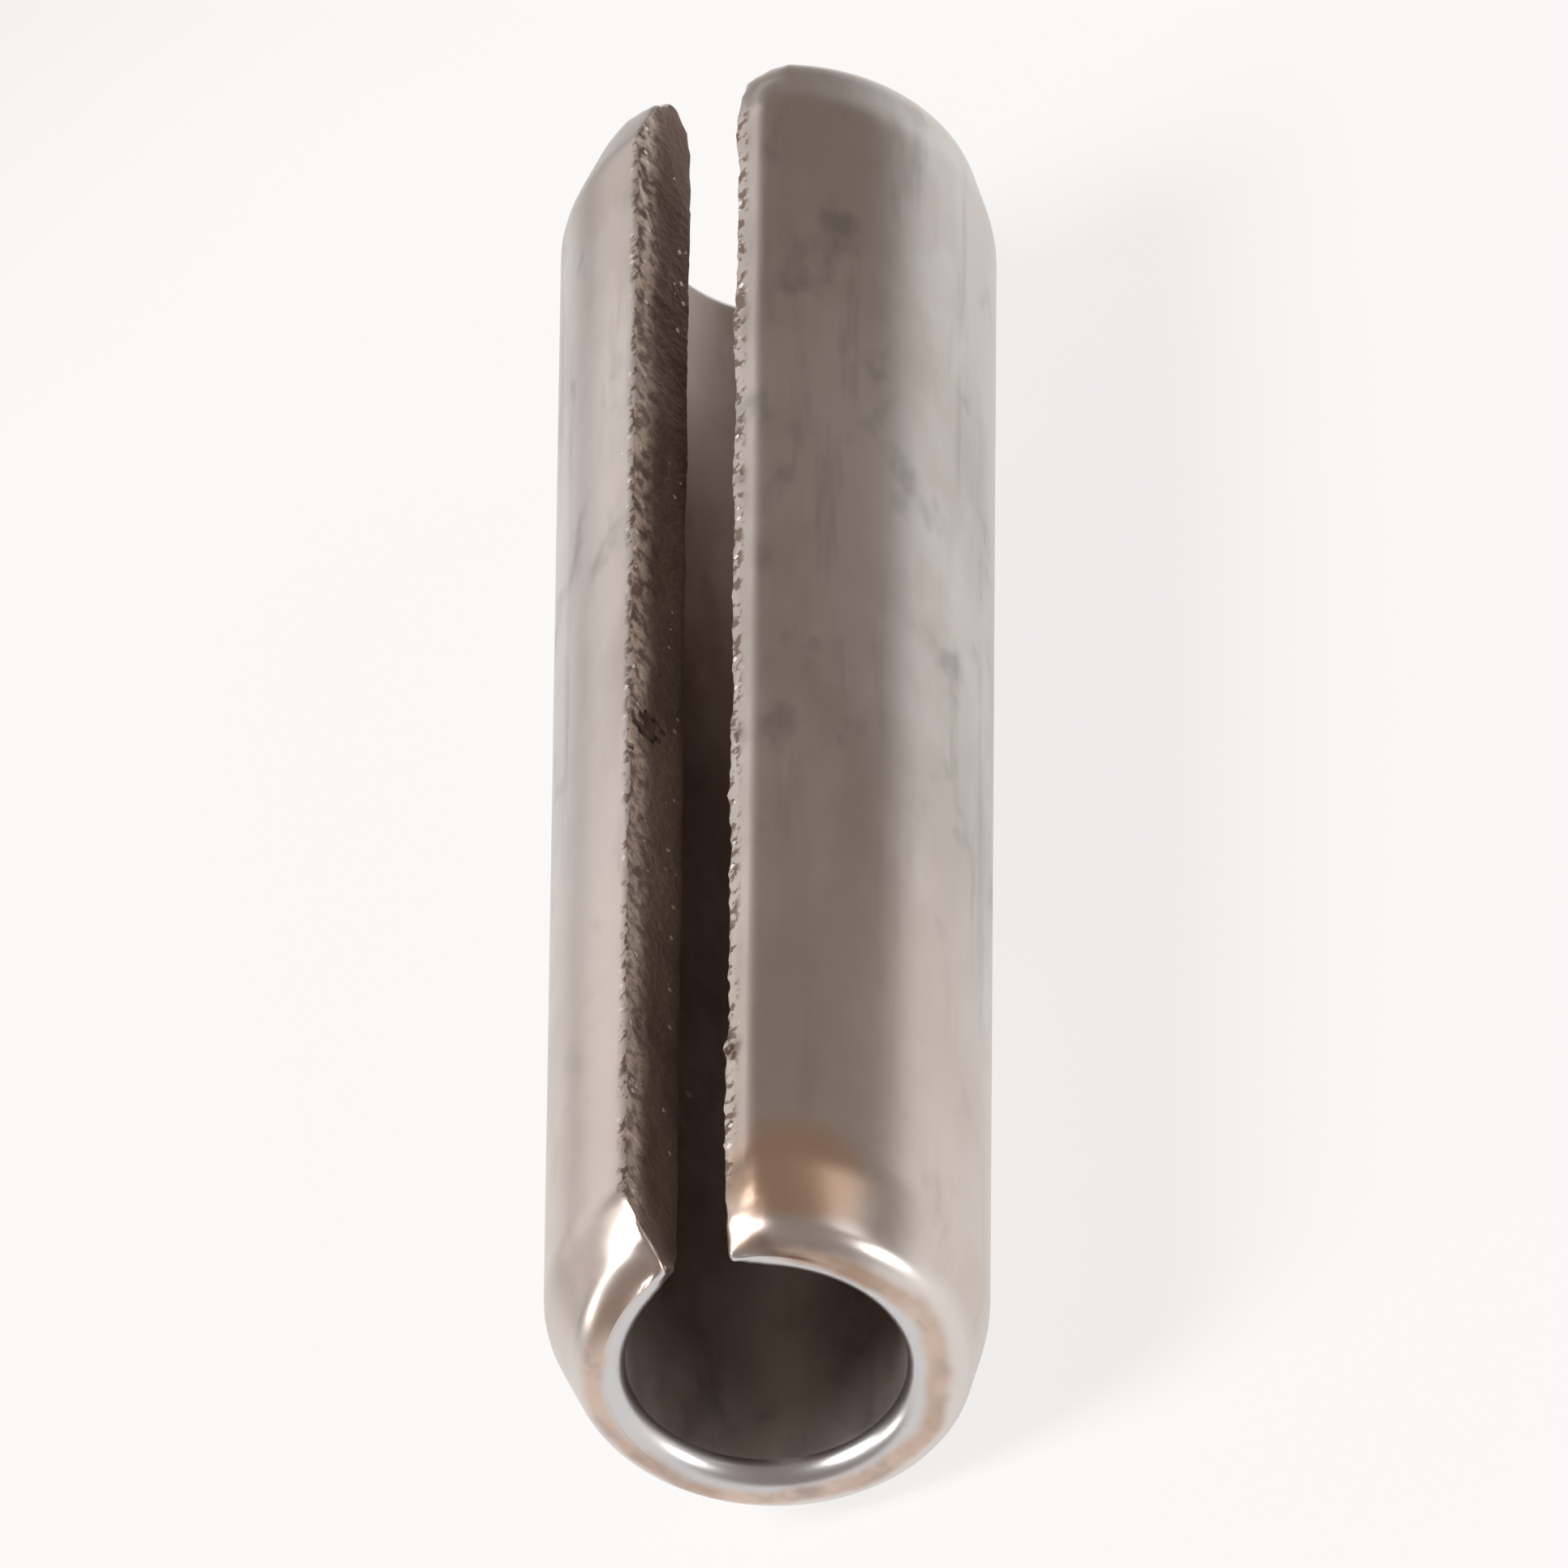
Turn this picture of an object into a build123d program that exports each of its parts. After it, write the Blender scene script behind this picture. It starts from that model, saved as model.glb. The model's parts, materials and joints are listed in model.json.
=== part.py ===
from build123d import *
import os
from math import asin, cos, degrees, radians, sin

# Slotted spring pin, also called a roll pin: one strip of spring steel, rolled into a tube that does not
# close. The open slot lets it squeeze as it is driven into a hole a little smaller than itself, and both
# ends are tapered and rounded to lead it in.
#
# The pin lies along Y with its centre at the origin. Its slot faces straight up, +Z, which is how it comes
# to rest on a flat surface, because the missing metal leaves its weight below the axis.

# Overall sizes, in millimetres
pin_length = 25.4
pin_diameter = 6.63  # unsqueezed, across the plain middle of the pin
wall = 1.22  # thickness of the steel strip

# Ends
taper_length = 1.4  # from the end face to the full diameter
taper_depth = 0.42  # how far the taper comes in at the end face, on the radius
end_rounding = 0.32  # outer edge of each end face
bore_edge_rounding = 0.30  # inner edge of each end face

# Slot, with sheared faces that point at the axis
slot_gap = 1.62  # across the slot's outer corners
lip_bevel_width = 0.50  # rolled-over outer edge of the lip on the +X side, along the surface
lip_bevel_depth = 0.30  # the same edge, down the slot's face

# Radii and angles that follow from these
outer_radius = pin_diameter / 2
bore_radius = outer_radius - wall
end_radius = outer_radius - taper_depth
half_length = pin_length / 2
straight_half_length = half_length - taper_length
slot_half_angle = degrees(asin(slot_gap / pin_diameter))
bevel_angle = degrees(lip_bevel_width / outer_radius)
cutter_radius = pin_diameter  # the slot's cutter reaches well outside the pin


def at_angle(radius, angle):
    """A point in the XZ plane, by its distance from the axis and its angle from +Z towards +X."""
    return Vector(radius * sin(radians(angle)), radius * cos(radians(angle)))


with BuildPart() as spring_pin:
    # The wall's section along the pin, where X is the station and Y the distance from the axis,
    # turned right round the pin's axis
    with BuildSketch(Plane.YZ) as wall_section:
        with BuildLine():
            Polyline(
                (-half_length, bore_radius),
                (-half_length, end_radius),
                (-straight_half_length, outer_radius),
                (straight_half_length, outer_radius),
                (half_length, end_radius),
                (half_length, bore_radius),
                close=True,
            )
        make_face()
        bore_corners = wall_section.vertices().group_by(Axis.Y)[0]
        fillet(bore_corners, radius=bore_edge_rounding)
        stations = wall_section.vertices().group_by(Axis.X)
        outer_corners = (stations[0] + stations[-1]).group_by(Axis.Y)[-1]
        fillet(outer_corners, radius=end_rounding)
    revolve(axis=Axis.Y)

    # The slot: a wedge from the axis outwards, through the whole length
    with BuildSketch(Plane.XZ):
        with BuildLine():
            Polyline(
                (0, 0),
                at_angle(cutter_radius, -slot_half_angle),
                at_angle(cutter_radius, slot_half_angle),
                close=True,
            )
        make_face()
    extrude(amount=pin_length, both=True, mode=Mode.SUBTRACT)

    # The rolled-over edge of the +X lip: a flat bevel along the whole length. Its cutter starts inside the
    # slot and ends outside the pin, so that it meets neither along an edge
    bevel_bottom = at_angle(outer_radius - lip_bevel_depth, slot_half_angle)
    bevel_top = at_angle(outer_radius, slot_half_angle + bevel_angle)
    bevel_run = bevel_top - bevel_bottom
    with BuildSketch(Plane.XZ):
        with BuildLine():
            Polyline(
                bevel_bottom - bevel_run,
                bevel_top + bevel_run,
                at_angle(cutter_radius, slot_half_angle),
                close=True,
            )
        make_face()
    extrude(amount=pin_length, both=True, mode=Mode.SUBTRACT)

spring_pin.part.label = "spring_pin"

os.makedirs("parts", exist_ok=True)
export_step(spring_pin.part, "parts/spring_pin.step")
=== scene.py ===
import json
from math import acos, atan2, cos, exp, hypot, pi, radians, sin, sqrt

import bmesh
import bpy
from mathutils import Matrix, Vector


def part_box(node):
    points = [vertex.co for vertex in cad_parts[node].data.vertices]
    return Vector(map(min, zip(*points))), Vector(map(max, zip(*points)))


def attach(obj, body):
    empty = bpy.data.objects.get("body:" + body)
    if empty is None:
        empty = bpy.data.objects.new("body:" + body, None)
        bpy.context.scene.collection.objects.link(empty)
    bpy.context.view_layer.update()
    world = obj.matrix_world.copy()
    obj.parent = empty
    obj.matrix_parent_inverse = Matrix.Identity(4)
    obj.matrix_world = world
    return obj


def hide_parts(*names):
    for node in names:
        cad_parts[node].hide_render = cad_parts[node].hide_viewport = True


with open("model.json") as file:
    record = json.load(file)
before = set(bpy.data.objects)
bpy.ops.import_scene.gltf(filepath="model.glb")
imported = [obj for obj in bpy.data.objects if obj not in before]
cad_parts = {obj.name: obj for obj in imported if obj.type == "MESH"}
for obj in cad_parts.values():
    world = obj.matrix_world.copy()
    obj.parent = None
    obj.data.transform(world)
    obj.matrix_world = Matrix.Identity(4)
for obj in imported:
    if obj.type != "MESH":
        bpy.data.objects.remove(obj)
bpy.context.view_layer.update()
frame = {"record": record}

MM = 0.001

# ---------------------------------------------------------------------------------------------------------
# The pin's body. A strip of spring steel is rolled round a mandrel into a tube that does not close, and its
# ends are tapered on the outside and tumbled round. It lies along Y with the slot facing up.
# ---------------------------------------------------------------------------------------------------------
low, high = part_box("spring_pin")
mounts = {mount["name"]: mount for mount in frame["record"]["mounts"]}
outer_radius = (high.x - low.x) / 2
half_length = (high.y - low.y) / 2
bore_radius = mounts["bore"]["dims"]["r_mm"] * MM
wall = outer_radius - bore_radius
plain_half_length = mounts["shank"]["dims"]["length_mm"] * MM / 2
taper_length = half_length - plain_half_length
slot_half_angle = acos(high.z / outer_radius)
middle_radius = (outer_radius + bore_radius) / 2

taper_depth = 0.43 * MM
taper_blend = 0.40 * MM  # length over which the taper's start is eased
end_rounding = 0.36 * MM
bore_edge_rounding = 0.36 * MM
lip_bevel_width = 0.50 * MM
lip_bevel_depth = 0.30 * MM
lip_edge_rounding = 0.045 * MM
turn_steps = 126
plain_rows = 180
taper_rows = 9
rounding_rows = 7
rows_across_wall = 10


def outer_at(station):
    """The strip's outer radius at a distance along the pin from its middle."""
    station = abs(station)
    slope = taper_depth / taper_length
    into_taper = station - plain_half_length
    blend = taper_blend / 2
    if into_taper <= -blend:
        radius = outer_radius
    elif into_taper < blend:
        radius = outer_radius - slope * (into_taper + blend) ** 2 / (4 * blend)
    else:
        radius = outer_radius - slope * into_taper
    into_rounding = station - (half_length - end_rounding)
    if into_rounding > 0:
        radius -= end_rounding - sqrt(max(end_rounding**2 - into_rounding**2, 0))
    return radius


def inner_at(station):
    """The bore's radius at a distance along the pin from its middle."""
    into_rounding = abs(station) - (half_length - bore_edge_rounding)
    if into_rounding <= 0:
        return bore_radius
    return bore_radius + bore_edge_rounding - sqrt(max(bore_edge_rounding**2 - into_rounding**2, 0))


# Stations of the rows, close together where the section curves
rounding = max(end_rounding, bore_edge_rounding)
half_stations = []
for i in range(rounding_rows):
    half_stations.append(half_length - rounding * (1 - sin(pi / 2 * i / rounding_rows)))
half_stations.append(half_length)
taper_start = plain_half_length - taper_blend
taper_step = (half_length - rounding - taper_start) / taper_rows
half_stations = [taper_start + taper_step * i for i in range(taper_rows)] + half_stations
plain_step = 2 * taper_start / plain_rows
stations = [-y for y in reversed(half_stations)]
stations += [-taper_start + plain_step * i for i in range(1, plain_rows)]
stations += half_stations


def start_mesh(name, **plane):
    """A plane that is left selected in edit mode, ready to be shaped."""
    bpy.ops.object.select_all(action="DESELECT")
    bpy.ops.mesh.primitive_plane_add(**plane)
    piece = bpy.context.active_object
    piece.name = piece.data.name = name
    bpy.ops.object.transform_apply(location=True, rotation=True, scale=True)
    bpy.ops.object.mode_set(mode="EDIT")
    return piece


def pick(piece, kind, test):
    """Selects the vertices, edges or faces whose bmesh element passes the test."""
    bpy.ops.mesh.select_mode(type=kind)
    bpy.ops.mesh.select_all(action="DESELECT")
    mesh = bmesh.from_edit_mesh(piece.data)
    elements = {"VERT": mesh.verts, "EDGE": mesh.edges, "FACE": mesh.faces}[kind]
    for element in elements:
        if test(element):
            element.select_set(True)
    bmesh.update_edit_mesh(piece.data)


def from_axis(point):
    return hypot(point.x, point.z)


def round_axis(point):
    """Angle about the pin's axis from the middle of the slot, positive on the +X side."""
    return atan2(point.x, point.z)


# One radial line on the +X lip's end, pulled along the pin row by row to the strip's section
lip_direction = Vector((sin(slot_half_angle), 0, cos(slot_half_angle)))
first_inner = inner_at(stations[0])
first_thickness = outer_at(stations[0]) - first_inner
pin = start_mesh("pin", size=wall, location=lip_direction * first_inner + Vector((0, stations[0], 0)))
bpy.ops.mesh.merge(type="CENTER")
bpy.ops.mesh.extrude_region_move(TRANSFORM_OT_translate={"value": lip_direction * first_thickness})
bpy.ops.mesh.select_all(action="SELECT")
bpy.ops.mesh.subdivide(number_cuts=rows_across_wall - 1)
bpy.ops.mesh.select_all(action="SELECT")
for previous, station in zip(stations, stations[1:]):
    inner = inner_at(station)
    step = lip_direction * (inner - inner_at(previous)) + Vector((0, station - previous, 0))
    bpy.ops.mesh.extrude_region_move(TRANSFORM_OT_translate={"value": step})
    stretch = (outer_at(station) - inner) / (outer_at(previous) - inner_at(previous))
    bpy.ops.transform.resize(value=(stretch, 1, stretch), center_override=lip_direction * inner)

# Rolled round the axis, which leaves the section's faces as the two lips of the slot
bpy.ops.mesh.select_all(action="SELECT")
bpy.ops.mesh.spin(
    steps=turn_steps,
    angle=2 * (pi - slot_half_angle),
    center=(0, 0, 0),
    axis=(0, -1, 0),
)
bpy.ops.mesh.select_all(action="SELECT")
bpy.ops.mesh.remove_doubles(threshold=0.0005 * MM)

# The rolled-over outer edge of the +X lip, pressed in column by column to a flat bevel
turn_step = 2 * (pi - slot_half_angle) / turn_steps
bevel_top_angle = slot_half_angle + lip_bevel_width / outer_radius
bevel_top = Vector((sin(bevel_top_angle), 0, cos(bevel_top_angle))) * outer_radius
bevel_foot = lip_direction * (outer_radius - lip_bevel_depth)
bevel_normal = (bevel_top - bevel_foot).cross(Vector((0, 1, 0))).normalized()
pick(pin, "VERT", lambda v: abs(round_axis(v.co) - slot_half_angle) < turn_step / 4)
squeeze = 1 - lip_bevel_depth / wall
bpy.ops.transform.resize(value=(squeeze, 1, squeeze), center_override=lip_direction * bore_radius)
column = slot_half_angle + turn_step
while column < bevel_top_angle:
    ray = Vector((sin(column), 0, cos(column)))
    reach = bevel_foot.dot(bevel_normal) / ray.dot(bevel_normal)
    pick(
        pin,
        "VERT",
        lambda v: from_axis(v.co) > middle_radius and abs(round_axis(v.co) - column) < turn_step / 4,
    )
    squeeze = reach / outer_radius
    bpy.ops.transform.resize(value=(squeeze, 1, squeeze), center_override=(0, 0, 0))
    column += turn_step
bpy.ops.mesh.select_all(action="SELECT")
bpy.ops.mesh.normals_make_consistent(inside=False)


def on_lip(face):
    """A face of the slot: it looks along the turn, not away from the axis or along the pin."""
    centre = face.calc_center_median()
    along_turn = Vector((centre.z, 0, -centre.x)).normalized()
    beside_slot = abs(round_axis(centre)) < slot_half_angle + turn_step / 4
    return beside_slot and abs(face.normal.dot(along_turn)) > 0.9


# Both lips' edges are broken a little, and tumbling has worn the corners at the ends round
pick(pin, "FACE", on_lip)
bpy.ops.mesh.region_to_loop()
bpy.ops.mesh.bevel(offset=lip_edge_rounding, segments=2, affect="EDGES", clamp_overlap=True)
tumbling_passes = ((0.70 * MM, 16), (0.42 * MM, 26), (0.28 * MM, 12))  # reach from the corner, and repeats
for reach, repeats in tumbling_passes:
    pick(
        pin,
        "VERT",
        lambda v: abs(v.co.y) > half_length - reach
        and abs(round_axis(v.co)) < slot_half_angle + reach / outer_radius,
    )
    bpy.ops.mesh.vertices_smooth(factor=0.5, repeat=repeats)
bpy.ops.object.mode_set(mode="OBJECT")


def weigh(piece, name, weight):
    """A vertex group whose weights follow from each vertex's place."""
    group = piece.vertex_groups.new(name=name)
    for vertex in piece.data.vertices:
        value = weight(vertex.co)
        if value > 0.002:
            group.add([vertex.index], min(value, 1), "REPLACE")
    return group.name


def displace(piece, group, direction, strength, grain=None, middle=0.0):
    """Moves a vertex group, evenly or by a cloudy grain of the given size, and applies it."""
    modifier = piece.modifiers.new(group, "DISPLACE")
    modifier.vertex_group = group
    modifier.direction = direction
    modifier.strength = strength
    modifier.mid_level = middle
    if grain is not None:
        texture = bpy.data.textures.new(group, "CLOUDS")
        texture.noise_scale = grain
        texture.noise_depth = 2
        texture.contrast = 1.6
        modifier.texture = texture
        modifier.texture_coords = "LOCAL"
        modifier.mid_level = 0.5
    bpy.context.view_layer.objects.active = piece
    bpy.ops.object.modifier_apply(modifier=modifier.name)


def across_wall(point):
    """0 at the bore, 1 at the outside."""
    inner = inner_at(point.y)
    return min(max((from_axis(point) - inner) / (outer_at(point.y) - inner), 0), 1)


def off_axis(end):
    """How much a vertex follows a taper that stands a little off the axis."""

    def weight(point):
        along = min(max((end * point.y - plain_half_length) / taper_length, 0), 1)
        return along * across_wall(point)

    return weight


taper_side = Vector((0.898, 0, -0.441))
near_taper_offset = 0.12 * MM
far_taper_offset = 0.08 * MM
for end, offset in ((-1, near_taper_offset), (1, far_taper_offset)):
    group = weigh(pin, f"taper_{'near' if end < 0 else 'far'}", off_axis(end))
    displace(pin, group, "X", offset * taper_side.x)
    displace(pin, group, "Z", offset * taper_side.z)


def low_far_edge(point):
    """The far end's lower bore edge, which is a little shorter than the rest."""
    below = max(-cos(round_axis(point)), 0)
    along = min(max((point.y - (half_length - 1.6 * MM)) / (1.6 * MM), 0), 1)
    return below * along * (1 - across_wall(point))


far_edge_setback = 0.28 * MM
displace(pin, weigh(pin, "far_edge", low_far_edge), "Y", -far_edge_setback)


def lip_end(side, spread):
    """The near end of one lip, which leans into the slot and stops a little short."""

    def weight(point):
        along = min(max((-point.y - (half_length - 1.5 * MM)) / (1.5 * MM), 0), 1)
        turned = max(side * round_axis(point) - slot_half_angle, 0) / spread
        return along**1.5 * exp(-turned * turned) * (0.6 + 0.4 * across_wall(point)) * (side * point.x > 0)

    return weight


right_lip_push = 0.24 * MM
right_lip_setback = 0.20 * MM
left_lip_push = 0.08 * MM
left_lip_setback = 0.42 * MM
displace(pin, weigh(pin, "right_lip_in", lip_end(1, radians(20))), "X", -right_lip_push)
displace(pin, weigh(pin, "right_lip_back", lip_end(1, radians(24))), "Y", right_lip_setback)
displace(pin, weigh(pin, "left_lip_in", lip_end(-1, radians(16))), "X", left_lip_push)
displace(pin, weigh(pin, "left_lip_back", lip_end(-1, radians(26))), "Y", left_lip_setback)


def torn(point):
    """The slot's torn faces and their edges, fading out towards the tumbled ends."""
    sideways = abs(round_axis(point)) - slot_half_angle
    plain = min(max((half_length - 0.5 * MM - abs(point.y)) / (0.8 * MM), 0), 1)
    if sideways > turn_step * 0.7:
        return 0
    return plain * (0.35 + 0.65 * across_wall(point)) * (1 if sideways < turn_step / 4 else 0.35)


torn_relief = 0.075 * MM
torn_grain = 0.17 * MM
torn_waviness = 0.10 * MM
torn_wave_length = 1.3 * MM
displace(pin, weigh(pin, "torn", torn), "X", torn_relief, grain=torn_grain)
displace(pin, weigh(pin, "torn_wave", torn), "X", torn_waviness, grain=torn_wave_length)


def burrs(point):
    """Small upstanding burrs on the +X lip's edge."""
    height = 0
    # each burr's place and width along the pin in millimetres, and its share of the full height
    for place, size, width in ((-8.8, 1.0, 0.13), (-2.1, 0.4, 0.10), (3.4, 0.45, 0.12), (6.9, 0.35, 0.15)):
        along = (point.y / MM - place) / width
        sideways = (from_axis(point) - outer_radius + lip_bevel_depth) / (0.12 * MM)
        if round_axis(point) > 0:
            turned = (round_axis(point) - slot_half_angle) / (turn_step * 0.6)
            height = max(height, size * exp(-along * along - turned * turned - sideways * sideways))
    return height


burr_height = 0.10 * MM
displace(pin, weigh(pin, "burrs", burrs), "Z", burr_height)
pin.vertex_groups.clear()
bpy.ops.object.select_all(action="DESELECT")
pin.select_set(True)
sharp_edge_angle = radians(50)
bpy.ops.object.shade_smooth_by_angle(angle=sharp_edge_angle)


# The finishes. All of them are the same steel, with grain, tarnish and specks of dust in their own amounts,
# and some carry painted highlights, painted shade and a painted reflection
def new_group(name, inputs, outputs):
    """A shader node group with named inputs, given with their values, and named outputs."""
    group = bpy.data.node_groups.new(name, "ShaderNodeTree")
    for label, kind, value in inputs:
        socket = group.interface.new_socket(label, in_out="INPUT", socket_type=kind)
        socket.default_value = value
    for label, kind in outputs:
        group.interface.new_socket(label, in_out="OUTPUT", socket_type=kind)
    group.nodes.new("NodeGroupInput").name = "in"
    group.nodes.new("NodeGroupOutput").name = "out"
    return group


def node(tree, kind, settings=None, **inputs):
    """A node with its settings, and its inputs given as values or as sockets to link."""
    made = tree.nodes.new(kind)
    for key, value in (settings or {}).items():
        setattr(made, key, value)
    for key, value in inputs.items():
        key = int(key[1:]) if key[0] == "_" and key[1:].isdigit() else key.replace("_", " ")
        if isinstance(value, bpy.types.NodeSocket):
            tree.links.new(value, made.inputs[key])
        else:
            made.inputs[key].default_value = value
    return made


def ramp(tree, factor, low_at, high_at):
    """0 below low_at, 1 above high_at, smooth between."""
    smooth = {"interpolation_type": "SMOOTHSTEP"}
    return node(tree, "ShaderNodeMapRange", smooth, _0=factor, _1=low_at, _2=high_at).outputs[0]


def noise(tree, scale, detail=3.0, roughness=0.5, stretch=(1, 1, 1), shift=(0, 0, 0)):
    """Cloudy noise fixed to the pin, drawn out along an axis where its stretch is under 1."""
    place = tree.nodes.new("ShaderNodeTexCoord").outputs["Object"]
    mapping = node(tree, "ShaderNodeMapping", Vector=place, Scale=stretch, Location=shift)
    made = node(
        tree,
        "ShaderNodeTexNoise",
        Vector=mapping.outputs[0],
        Scale=scale,
        Detail=detail,
        Roughness=roughness,
    )
    return made.outputs["Fac"]


def mix_colour(tree, factor, first, second):
    return node(tree, "ShaderNodeMix", {"data_type": "RGBA"}, _0=factor, _6=first, _7=second).outputs[2]


def maths(tree, operation, first, second):
    return node(tree, "ShaderNodeMath", {"operation": operation}, _0=first, _1=second).outputs[0]


def times(tree, first, second):
    return maths(tree, "MULTIPLY", first, second)


# Grain: the fine unevenness of worn steel, as a height and as a patchiness for roughness
grain_group = new_group(
    "steel_grain",
    [("Coarse", "NodeSocketFloat", 0.5)],
    [("Height", "NodeSocketFloat"), ("Patches", "NodeSocketFloat")],
)
fine = noise(grain_group, 9000, 2.0)
coarse = noise(grain_group, 1500, 3.0)
grain_height = node(grain_group, "ShaderNodeMix", _0=grain_group.nodes["in"].outputs[0], _2=fine, _3=coarse)
grain_group.links.new(grain_height.outputs[0], grain_group.nodes["out"].inputs[0])
grain_group.links.new(noise(grain_group, 700, 4.0, 0.6), grain_group.nodes["out"].inputs[1])

# Tarnish: brown clouds, long faint streaks along the pin, and small dark smudges
tarnish_group = new_group(
    "tarnish",
    [
        ("Clean", "NodeSocketColor", (0.6, 0.6, 0.6, 1)),
        ("Brown", "NodeSocketColor", (0.5, 0.4, 0.3, 1)),
        ("Amount", "NodeSocketFloat", 0.5),
    ],
    [("Color", "NodeSocketColor")],
)
source = tarnish_group.nodes["in"].outputs
clouds = ramp(tarnish_group, noise(tarnish_group, 330, 4.0, 0.6, (1, 0.45, 1)), 0.40, 0.66)
streaks = ramp(tarnish_group, noise(tarnish_group, 1900, 3.0, 0.6, (1, 0.10, 1)), 0.52, 0.75)
smudges = ramp(tarnish_group, noise(tarnish_group, 900, 3.0, 0.55, (1, 0.6, 1), (3, 1, 2)), 0.55, 0.75)
browned = times(tarnish_group, clouds, source["Amount"])
tint = mix_colour(tarnish_group, browned, source["Clean"], source["Brown"])
dark = times(tarnish_group, times(tarnish_group, streaks, 0.42), source["Amount"])
tint = mix_colour(tarnish_group, dark, tint, (0.30, 0.27, 0.26, 1))
dark = times(tarnish_group, times(tarnish_group, smudges, 0.5), source["Amount"])
tint = mix_colour(tarnish_group, dark, tint, (0.22, 0.20, 0.20, 1))
tarnish_group.links.new(tint, tarnish_group.nodes["out"].inputs[0])

# Specks: dust, and bright grains that are painted glints, scattered over the steel, as a mask
dust_and_glint_group = new_group(
    "dust_and_glints",
    [
        ("Scale", "NodeSocketFloat", 900.0),
        ("Size", "NodeSocketFloat", 0.1),
        ("Share", "NodeSocketFloat", 0.1),
    ],
    [("Mask", "NodeSocketFloat")],
)
source = dust_and_glint_group.nodes["in"].outputs
place = dust_and_glint_group.nodes.new("ShaderNodeTexCoord").outputs["Object"]
angular = {"distance": "MANHATTAN"}
cells = node(dust_and_glint_group, "ShaderNodeTexVoronoi", angular, Vector=place, Scale=source["Scale"])
in_speck = maths(dust_and_glint_group, "LESS_THAN", cells.outputs["Distance"], source["Size"])
cell_draw = node(dust_and_glint_group, "ShaderNodeSeparateColor", Color=cells.outputs["Color"]).outputs[0]
chosen = maths(dust_and_glint_group, "LESS_THAN", cell_draw, source["Share"])
dust_and_glint_group.links.new(times(dust_and_glint_group, in_speck, chosen), dust_and_glint_group.nodes["out"].inputs[0])


def use_group(tree, group, **inputs):
    return node(tree, "ShaderNodeGroup", {"node_tree": group}, **inputs).outputs


def steel(name, colour, roughness, bump, bump_depth, coarse):
    """A steel finish: colour and roughness sockets, and the grain's height through a bump."""
    material = bpy.data.materials.new(name)
    material.use_nodes = True
    tree = material.node_tree
    shader = tree.nodes["Principled BSDF"]
    shader.inputs["Metallic"].default_value = 1.0
    grain = use_group(tree, grain_group, Coarse=coarse)
    uneven = node(tree, "ShaderNodeMapRange", _0=grain["Patches"], _3=roughness[0], _4=roughness[1])
    tree.links.new(uneven.outputs[0], shader.inputs["Roughness"])
    relief = node(tree, "ShaderNodeBump", Height=grain["Height"], Strength=bump, Distance=bump_depth)
    tree.links.new(relief.outputs[0], shader.inputs["Normal"])
    tree.links.new(colour(tree), shader.inputs["Base Color"])
    return material


def radius_from_axis(tree, waver=0.0):
    """Distance from the pin's axis, made uneven by a slow noise."""
    place = tree.nodes.new("ShaderNodeTexCoord").outputs["Object"]
    flat = node(tree, "ShaderNodeVectorMath", {"operation": "MULTIPLY"}, _0=place, _1=(1, 0, 1))
    radius = node(tree, "ShaderNodeVectorMath", {"operation": "LENGTH"}, _0=flat.outputs[0]).outputs["Value"]
    uneven = maths(tree, "SUBTRACT", noise(tree, 620, 3.0, 0.6), 0.5)
    return maths(tree, "ADD", radius, times(tree, uneven, waver))


def end_colour(tree):
    """Lighter at both rims of the end face as painted highlights, and browned in an uneven band between them
    by tarnish and painted shade.
    """
    clean = (0.64, 0.50, 0.42, 1)
    brown = (0.38, 0.25, 0.18, 1)
    tarnished = use_group(tree, tarnish_group, Clean=clean, Brown=brown, Amount=1.0)
    radius = radius_from_axis(tree, 0.45 * MM)
    # painted highlights: the rims are lighter where the rounded edges catch the light; the browned band
    # between them is tarnish and painted shade
    inner_rim_highlight = ramp(tree, times(tree, radius, -1.0), -bore_radius - 0.42 * MM, -bore_radius - 0.22 * MM)
    outer_rim_highlight = ramp(tree, radius, outer_radius - 0.66 * MM, outer_radius - 0.46 * MM)
    colour = mix_colour(tree, inner_rim_highlight, tarnished["Color"], (0.63, 0.615, 0.62, 1))
    return mix_colour(tree, outer_rim_highlight, colour, (0.70, 0.645, 0.61, 1))


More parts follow.
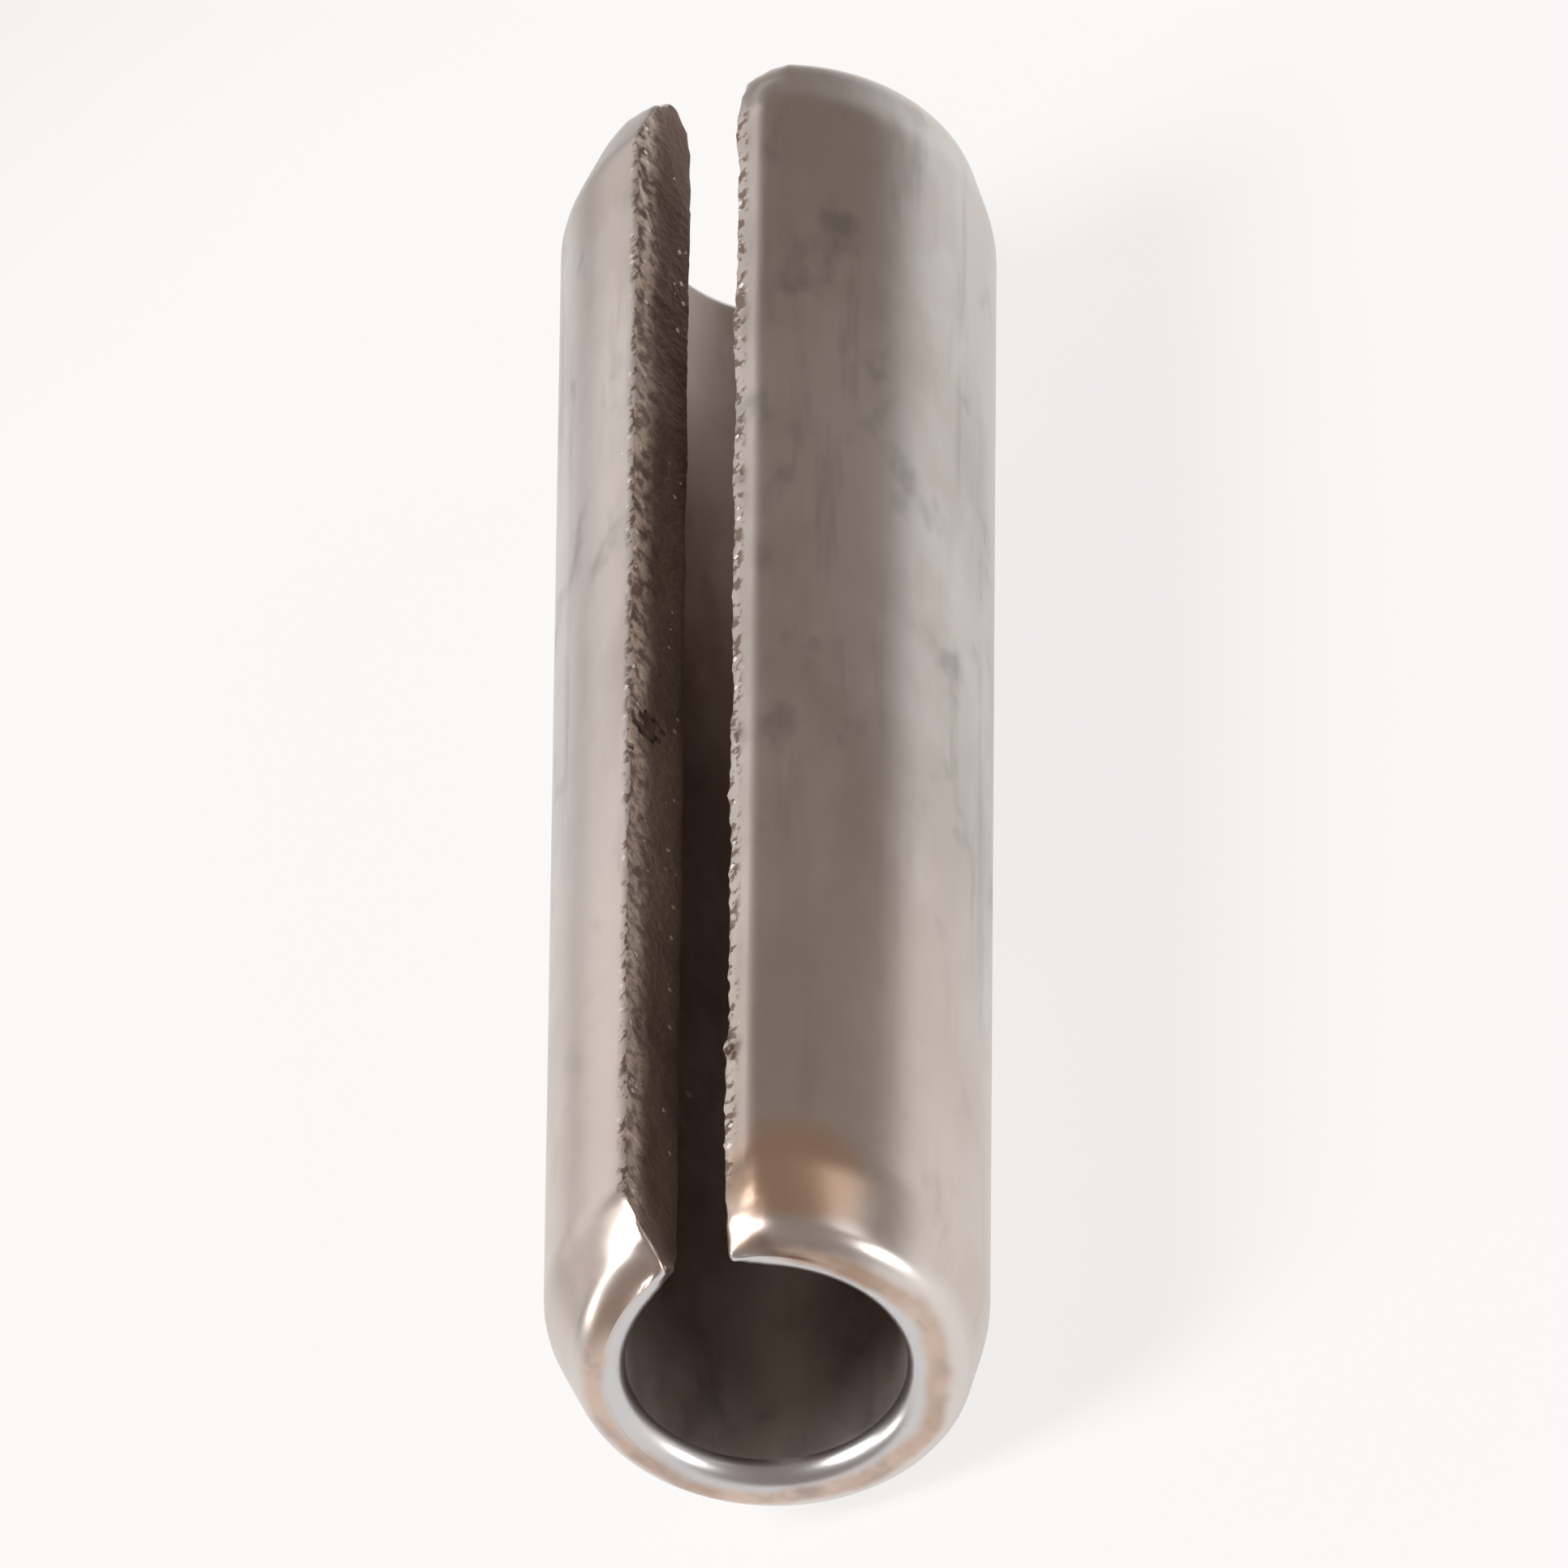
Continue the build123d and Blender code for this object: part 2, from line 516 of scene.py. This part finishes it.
def drawn_colour(tree):
    """The tube's outside and its rounded ends."""
    clean = (0.62, 0.575, 0.545, 1)
    brown = (0.50, 0.450, 0.415, 1)
    tarnished = use_group(tree, tarnish_group, Clean=clean, Brown=brown, Amount=1.0)
    on_pin = tree.nodes.new("ShaderNodeTexCoord").outputs["Object"]
    place = node(tree, "ShaderNodeSeparateXYZ", Vector=on_pin)
    # the near third is warmer and a little lighter, and on top of the near taper sits an orange-brown
    # painted reflection
    warm = times(tree, ramp(tree, times(tree, place.outputs[1], -1.0), 0.001, 0.009), 0.5)
    colour = mix_colour(tree, warm, tarnished["Color"], (0.70, 0.60, 0.525, 1))
    # painted reflection: an orange-brown patch on top of the near taper, where the steel reflects something
    # warm overhead
    painted_reflection_distance = node(tree, "ShaderNodeVectorMath", {"operation": "DISTANCE"})
    tree.links.new(tree.nodes.new("ShaderNodeTexCoord").outputs["Object"], painted_reflection_distance.inputs[0])
    painted_reflection_distance.inputs[1].default_value = (0.0018, -0.0116, 0.0027)
    painted_reflection = times(tree, ramp(tree, times(tree, painted_reflection_distance.outputs["Value"], -1.0), -0.0014, -0.0006), 0.75)
    colour = mix_colour(tree, painted_reflection, colour, (0.66, 0.43, 0.28, 1))
    station = node(tree, "ShaderNodeMath", {"operation": "ABSOLUTE"}, _0=place.outputs[1]).outputs[0]
    at_end = ramp(tree, station, half_length - 0.62 * MM, half_length - 0.22 * MM)
    colour = mix_colour(tree, at_end, colour, end_colour(tree))
    dust_and_glints = use_group(tree, dust_and_glint_group, Scale=850.0, Size=0.065, Share=0.24)
    colour = mix_colour(tree, dust_and_glints["Mask"], colour, (1.0, 0.97, 0.93, 1))
    # the slot's edges are crumbled: pits darkened as painted shade and bright grains as painted glints in a
    # narrow border, clear of the tumbled ends
    sideways = node(tree, "ShaderNodeMath", {"operation": "ABSOLUTE"}, _0=place.outputs[0]).outputs[0]
    narrow = ramp(tree, times(tree, sideways, -1.0), -0.99 * MM, -0.84 * MM)
    border = times(tree, narrow, ramp(tree, place.outputs[2], 0, MM))
    off_ends = ramp(tree, times(tree, station, -1.0), -half_length + 0.9 * MM, -half_length + 1.5 * MM)
    border = times(tree, border, off_ends)
    painted_pit_shade = times(tree, border, ramp(tree, noise(tree, 5200, 2.0, 0.6), 0.50, 0.60))
    colour = mix_colour(tree, painted_pit_shade, colour, (0.22, 0.16, 0.13, 1))
    painted_glints = use_group(tree, dust_and_glint_group, Scale=5200.0, Size=0.34, Share=0.28)
    return mix_colour(tree, times(tree, painted_glints["Mask"], border), colour, (1.0, 0.96, 0.92, 1))


def torn_colour(tree):
    """The slot's torn faces, golden and grainy towards the outside as fracture grain and painted light, and
    darker towards the bore as painted shade.
    """
    clean = (0.40, 0.32, 0.275, 1)
    brown = (0.22, 0.15, 0.12, 1)
    tarnished = use_group(tree, tarnish_group, Clean=clean, Brown=brown, Amount=1.0)
    # painted light and shade: lighter and golden near the outside where light falls into the slot, darker
    # towards the bore where the slot lies in shade
    near_edge = ramp(tree, radius_from_axis(tree), outer_radius - 0.62 * MM, outer_radius - 0.12 * MM)
    golden_grain_and_light = times(tree, near_edge, ramp(tree, noise(tree, 4200, 2.0, 0.6), 0.35, 0.62))
    colour = mix_colour(tree, golden_grain_and_light, tarnished["Color"], (0.84, 0.72, 0.63, 1))
    # painted glints: bright sparkles on the torn face
    dust_and_glints = use_group(tree, dust_and_glint_group, Scale=5200.0, Size=0.30, Share=0.16)
    return mix_colour(tree, dust_and_glints["Mask"], colour, (0.95, 0.88, 0.80, 1))


def bore_colour(tree):
    """The dull scale inside the bore."""
    clean = (0.53, 0.465, 0.43, 1)
    brown = (0.34, 0.27, 0.235, 1)
    tarnished = use_group(tree, tarnish_group, Clean=clean, Brown=brown, Amount=1.0)
    dust_and_glints = use_group(tree, dust_and_glint_group, Scale=1100.0, Size=0.11, Share=0.16)
    return mix_colour(tree, dust_and_glints["Mask"], tarnished["Color"], (0.7, 0.64, 0.6, 1))


# each finish has a range of roughness, and its bump's strength, depth and coarseness
finishes = [
    steel("drawn_steel", drawn_colour, (0.24, 0.38), 0.25, 0.004 * MM, 0.45),
    steel("torn_edge", torn_colour, (0.50, 0.72), 1.0, 0.035 * MM, 0.25),
    steel("bore_scale", bore_colour, (0.42, 0.60), 0.5, 0.010 * MM, 0.5),
]
for finish in finishes:
    pin.data.materials.append(finish)


def in_bore(face):
    """A face of the bore, short of its rounded edges."""
    centre = face.calc_center_median()
    return from_axis(centre) < bore_radius * 1.004 and abs(centre.y) < half_length - bore_edge_rounding


bpy.context.view_layer.objects.active = pin
bpy.ops.object.mode_set(mode="EDIT")
for index, test in ((1, on_lip), (2, in_bore)):
    pick(pin, "FACE", test)
    pin.active_material_index = index
    bpy.ops.object.material_slot_assign()
bpy.ops.object.mode_set(mode="OBJECT")

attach(pin, "root")
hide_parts("spring_pin")

# ---------------------------------------------------------------------------------------------------------
# The white surface that the pin lies on. It shows white to the camera and in the steel, and keeps the pin's
# soft shadow. Its glow is brightest round the pin and fades farther out, a painted pool of light seen in the
# steel.
# ---------------------------------------------------------------------------------------------------------
bpy.ops.object.select_all(action="DESELECT")
floor_size = 6.0
bpy.ops.mesh.primitive_plane_add(size=floor_size, location=(0, 0, low.z))
floor = bpy.context.active_object
floor.name = floor.data.name = "floor"
surface = bpy.data.materials.new("white_surface")
surface.use_nodes = True
tree = surface.node_tree
tree.nodes.remove(tree.nodes["Principled BSDF"])
rays = tree.nodes.new("ShaderNodeLightPath").outputs
seen = maths(tree, "MAXIMUM", rays["Is Camera Ray"], rays["Is Glossy Ray"])
seen = maths(tree, "MAXIMUM", seen, rays["Is Transmission Ray"])
place = tree.nodes.new("ShaderNodeTexCoord").outputs["Object"]
away = node(tree, "ShaderNodeVectorMath", {"operation": "LENGTH"}, _0=place).outputs["Value"]
smooth = {"interpolation_type": "SMOOTHSTEP"}
# painted light: the glow is brightest round the pin and fades farther out, a pool of light that the steel
# reflects
fade_start, fade_end = 0.021, 0.060
glow_near, glow_far = 0.765, 0.36
level = node(
    tree, "ShaderNodeMapRange", smooth, _0=away, _1=fade_start, _2=fade_end, _3=glow_near, _4=glow_far
)
white = node(tree, "ShaderNodeEmission", Color=(1, 1, 1, 1), Strength=times(tree, seen, level.outputs[0]))
lit = node(tree, "ShaderNodeBsdfDiffuse", Color=(0.23, 0.225, 0.222, 1))
both = node(tree, "ShaderNodeAddShader", _0=white.outputs[0], _1=lit.outputs[0])
tree.links.new(both.outputs[0], tree.nodes["Material Output"].inputs["Surface"])
floor.data.materials.append(surface)

# ---------------------------------------------------------------------------------------------------------
# The light: a dim warm room, a key lamp high on the left, a soft box low behind on the left, a lamp in front
# on each side that catches the rims, and a soft box high on the right.
# ---------------------------------------------------------------------------------------------------------
world = bpy.data.worlds.new("room")
bpy.context.scene.world = world
world.use_nodes = True
world.node_tree.nodes["Background"].inputs["Color"].default_value = (0.30, 0.258, 0.236, 1)
world.node_tree.nodes["Background"].inputs["Strength"].default_value = 1.0


def soft_lamp(name, direction, distance, width, height, radiance):
    """A rectangular lamp that faces the pin from a direction."""
    direction = Vector(direction).normalized()
    lamp_data = bpy.data.lights.new(name, "AREA")
    lamp_data.shape = "RECTANGLE"
    lamp_data.size = width
    lamp_data.size_y = height
    lamp_data.energy = radiance * pi * width * height
    lamp = bpy.data.objects.new(name, lamp_data)
    lamp.location = direction * distance
    lamp.rotation_euler = (-direction).to_track_quat("-Z", "Y").to_euler()
    bpy.context.scene.collection.objects.link(lamp)


soft_lamp("key", (-0.56, -0.26, 0.79), 0.60, 0.25, 0.25, 11.0)
soft_lamp("left_box", (-0.76, 0.58, 0.30), 0.50, 0.48, 0.27, 0.74)
soft_lamp("front_left", (-0.87, -0.38, 0.31), 0.50, 0.14, 0.14, 5.0)
soft_lamp("front_right", (0.87, -0.48, 0.08), 0.50, 0.16, 0.06, 24.0)
soft_lamp("right_box", (0.86, 0.05, 0.50), 0.50, 0.22, 0.16, 1.2)

# ---------------------------------------------------------------------------------------------------------
# The camera, a long lens that looks along the pin from above its near end.
# ---------------------------------------------------------------------------------------------------------
view_from_axis = radians(44.42)
view_from_slot = radians(26.16)
view_roll = radians(0.627)
camera_distance = 0.6425
lens_length = 982.0  # millimetres, on a sensor 36 wide
framing_right, framing_down = 0.166, 0.102  # millimetres
to_camera = Vector(
    (
        sin(view_from_axis) * sin(view_from_slot),
        -cos(view_from_axis),
        sin(view_from_axis) * cos(view_from_slot),
    )
)
camera_right = Vector((cos(view_from_slot), 0, -sin(view_from_slot)))
camera_up = to_camera.cross(camera_right)
turned_right = camera_right * cos(view_roll) + camera_up * sin(view_roll)
turned_up = to_camera.cross(turned_right)
framing = turned_right * framing_right * MM - turned_up * framing_down * MM
camera_data = bpy.data.cameras.new("camera")
camera_data.lens = lens_length
camera_data.sensor_width = 36.0
camera_data.clip_end = 10
camera = bpy.data.objects.new("camera", camera_data)
axes = Matrix((turned_right, turned_up, to_camera)).transposed().to_4x4()
axes.translation = to_camera * camera_distance + framing
camera.matrix_world = axes
bpy.context.scene.collection.objects.link(camera)
bpy.context.scene.camera = camera
bpy.context.scene.view_settings.view_transform = "Standard"
